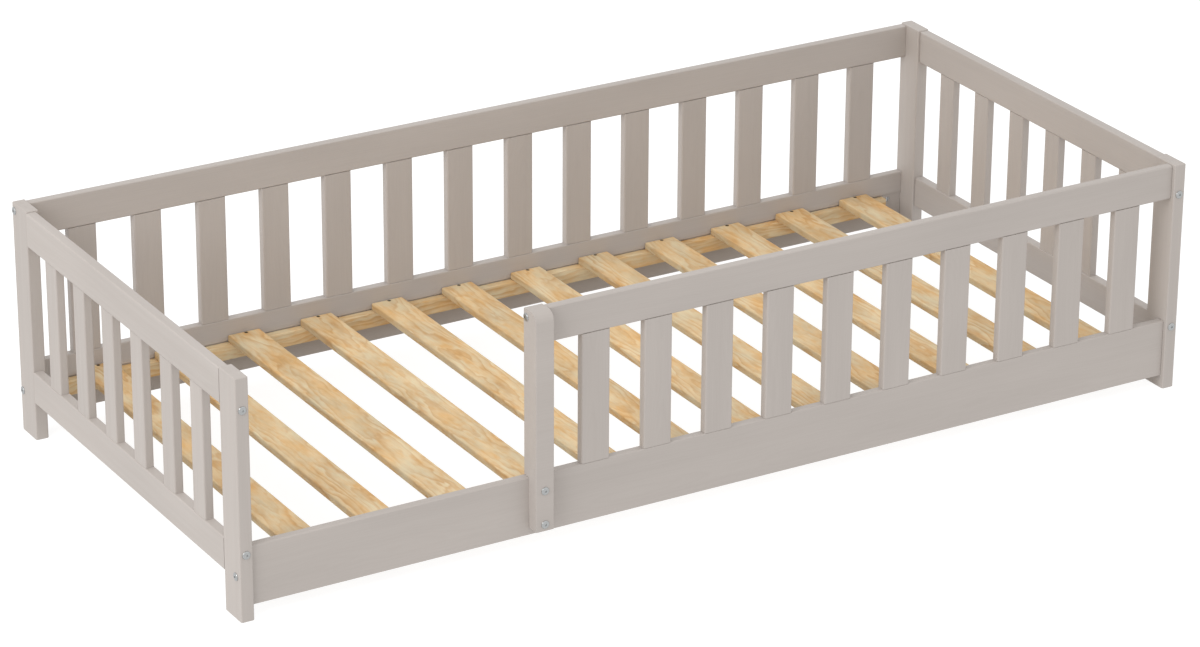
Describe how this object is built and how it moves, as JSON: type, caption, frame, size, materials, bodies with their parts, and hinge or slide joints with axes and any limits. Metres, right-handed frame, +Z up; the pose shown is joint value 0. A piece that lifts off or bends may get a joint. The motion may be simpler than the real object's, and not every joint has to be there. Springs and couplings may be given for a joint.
{
  "type": "toddler bed",
  "caption": "Low slatted toddler bed with barred panels on all sides and an open entry at the front, for a standard single mattress.",
  "frame": {"origin": "on the floor under the middle of the bed's outer box", "axes": "+X along the bed to the end away from the entry, +Y from the entry side to the closed back, +Z up"},
  "size_m": [2.0652, 0.9726, 0.475],
  "materials": {
    "paint": "warm grey satin paint over solid pine, grain faintly raised, edges rounded by hand sanding",
    "pine": "bare planed knotty pine with flat-sawn grain, unvarnished",
    "zinc": "bright zinc plate on low round hexagon-socket heads"
  },
  "bodies": {
    "root": {"front_left_post": "paint", "front_right_post": "paint", "back_left_post": "paint", "back_right_post": "paint", "left_end_grille": "paint", "right_end_grille": "paint", "back_top_rail": "paint", "back_side_board": "paint", "front_guard_rail": "paint", "front_side_board": "paint", "back_bar_01": "paint", "back_bar_02": "paint", "back_bar_03": "paint", "back_bar_04": "paint", "back_bar_05": "paint", "back_bar_06": "paint", "back_bar_07": "paint", "back_bar_08": "paint", "back_bar_09": "paint", "back_bar_10": "paint", "back_bar_11": "paint", "back_bar_12": "paint", "back_bar_13": "paint", "back_bar_14": "paint", "guard_bar_01": "paint", "guard_bar_02": "paint", "guard_bar_03": "paint", "guard_bar_04": "paint", "guard_bar_05": "paint", "guard_bar_06": "paint", "guard_bar_07": "paint", "guard_bar_08": "paint", "guard_bar_09": "paint", "guard_bar_10": "paint", "entry_post": "paint", "back_ledger": "pine", "front_ledger": "pine", "slat_01": "pine", "slat_02": "pine", "slat_03": "pine", "slat_04": "pine", "slat_05": "pine", "slat_06": "pine", "slat_07": "pine", "slat_08": "pine", "slat_09": "pine", "slat_10": "pine", "slat_11": "pine", "slat_12": "pine", "front_left_top_rail_bolt": "zinc", "front_left_low_rail_bolt": "zinc", "front_left_board_bolt": "zinc", "front_right_top_rail_bolt": "zinc", "front_right_low_rail_bolt": "zinc", "back_left_long_rail_bolt": "zinc", "back_left_board_bolt": "zinc", "back_right_board_bolt": "zinc", "guard_rail_entry_bolt": "zinc", "entry_post_lap_bolt_1": "zinc", "entry_post_lap_bolt_2": "zinc"}
  },
  "joints": []
}
